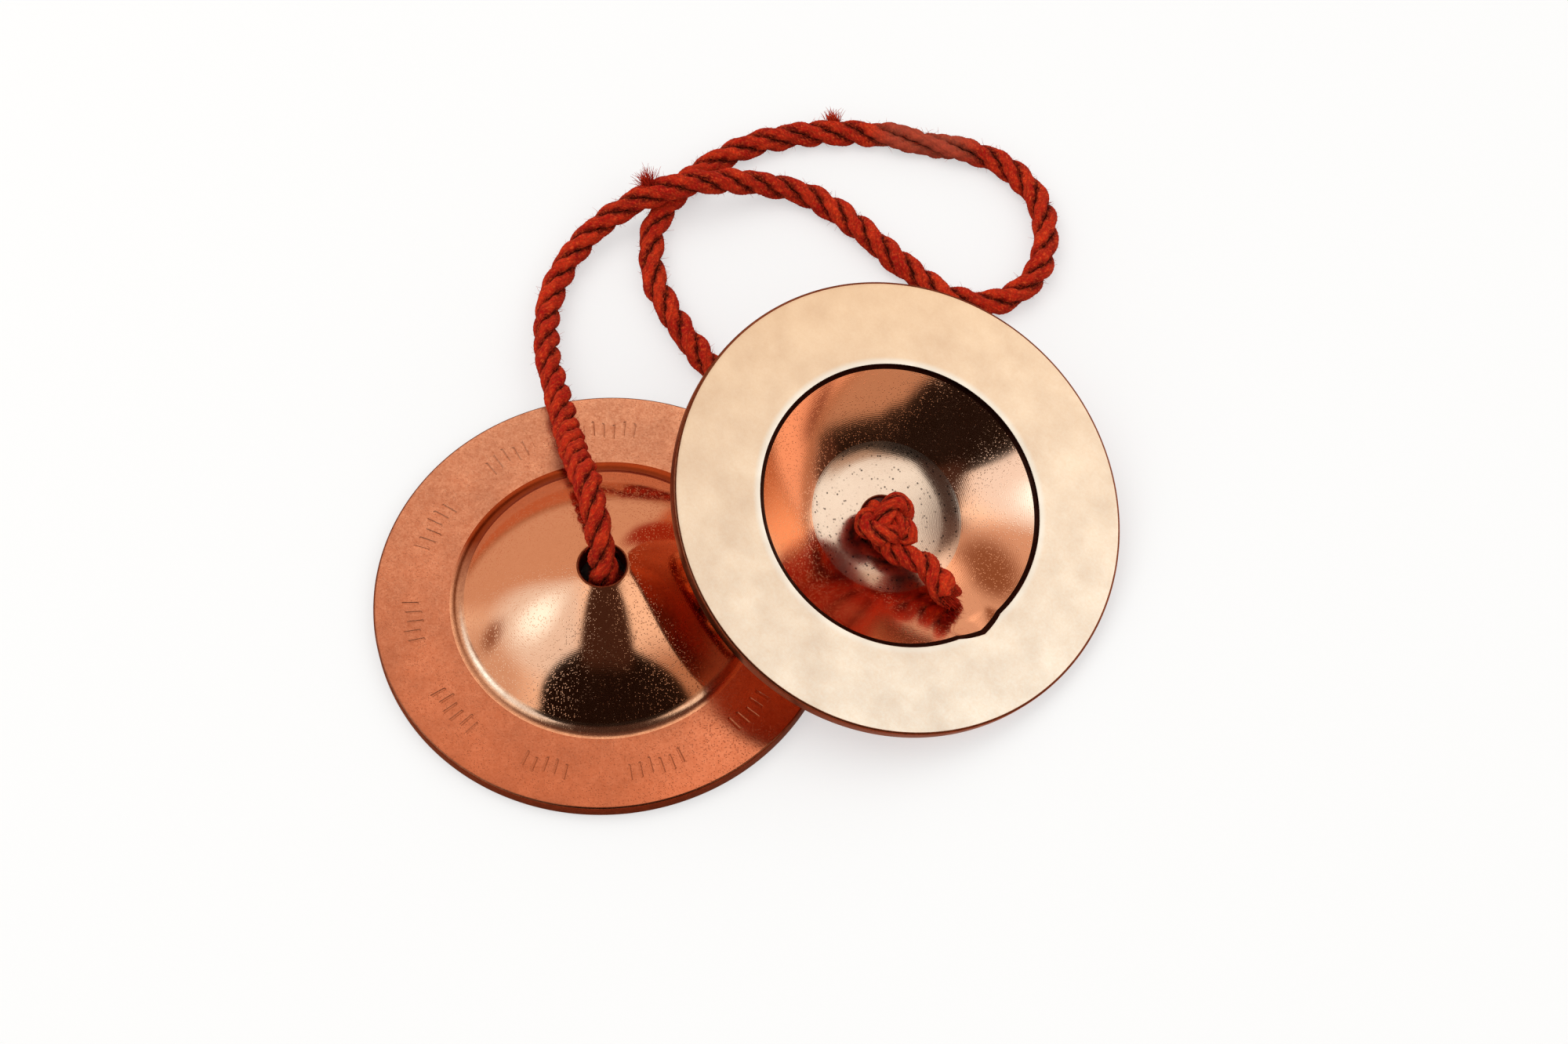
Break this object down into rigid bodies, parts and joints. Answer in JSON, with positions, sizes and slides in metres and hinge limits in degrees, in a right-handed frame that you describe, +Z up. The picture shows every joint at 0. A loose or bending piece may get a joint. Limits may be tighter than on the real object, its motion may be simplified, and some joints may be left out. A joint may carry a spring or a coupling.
{
  "type": "manjira hand cymbals",
  "caption": "Small domed metal hand cymbals strung on one knotted red cotton cord, one lying face down and the other leaning beside it.",
  "frame": {"origin": "on the ground, in the middle of the box round the two cymbals", "axes": "+Z up and square to the left cymbal's playing face, +Y towards the cord's loop, +X from the left cymbal to the right one"},
  "size_m": [0.1046, 0.1141, 0.0252],
  "materials": {
    "rosy_bronze": "polished cast bell bronze, warm copper tone, satin rim",
    "pale_bronze": "machined and polished cast bell bronze, pale gold tone",
    "red_cotton": "dyed three-strand twisted cotton cord"
  },
  "bodies": {
    "cord": {"cord": "red_cotton", "right_lead": "red_cotton", "left_knot": "red_cotton", "left_cord_end": "red_cotton"},
    "left_cymbal": {"left_cymbal": "rosy_bronze"},
    "right_carrier": {"right_knot": "red_cotton", "right_cord_end": "red_cotton"},
    "right_cymbal": {"right_cymbal": "pale_bronze"}
  },
  "joints": [
    {"name": "left_spin", "type": "hinge", "parent": "cord", "child": "left_cymbal", "pos_m": [-0.01984, -0.00398, 0.0093], "axis": [0, 0, 1], "continuous": true},
    {"name": "right_rock", "type": "hinge", "parent": "cord", "child": "right_carrier", "pos_m": [0.01802, 0.00671, 0.00304], "axis": [-0.59, -0.8074, 0], "range_deg": [0, 15], "deforming": ["right_lead"]},
    {"name": "right_spin", "type": "hinge", "parent": "right_carrier", "child": "right_cymbal", "pos_m": [0.01802, 0.00671, 0.00304], "axis": [0.2887, -0.211, 0.9339], "continuous": true}
  ]
}
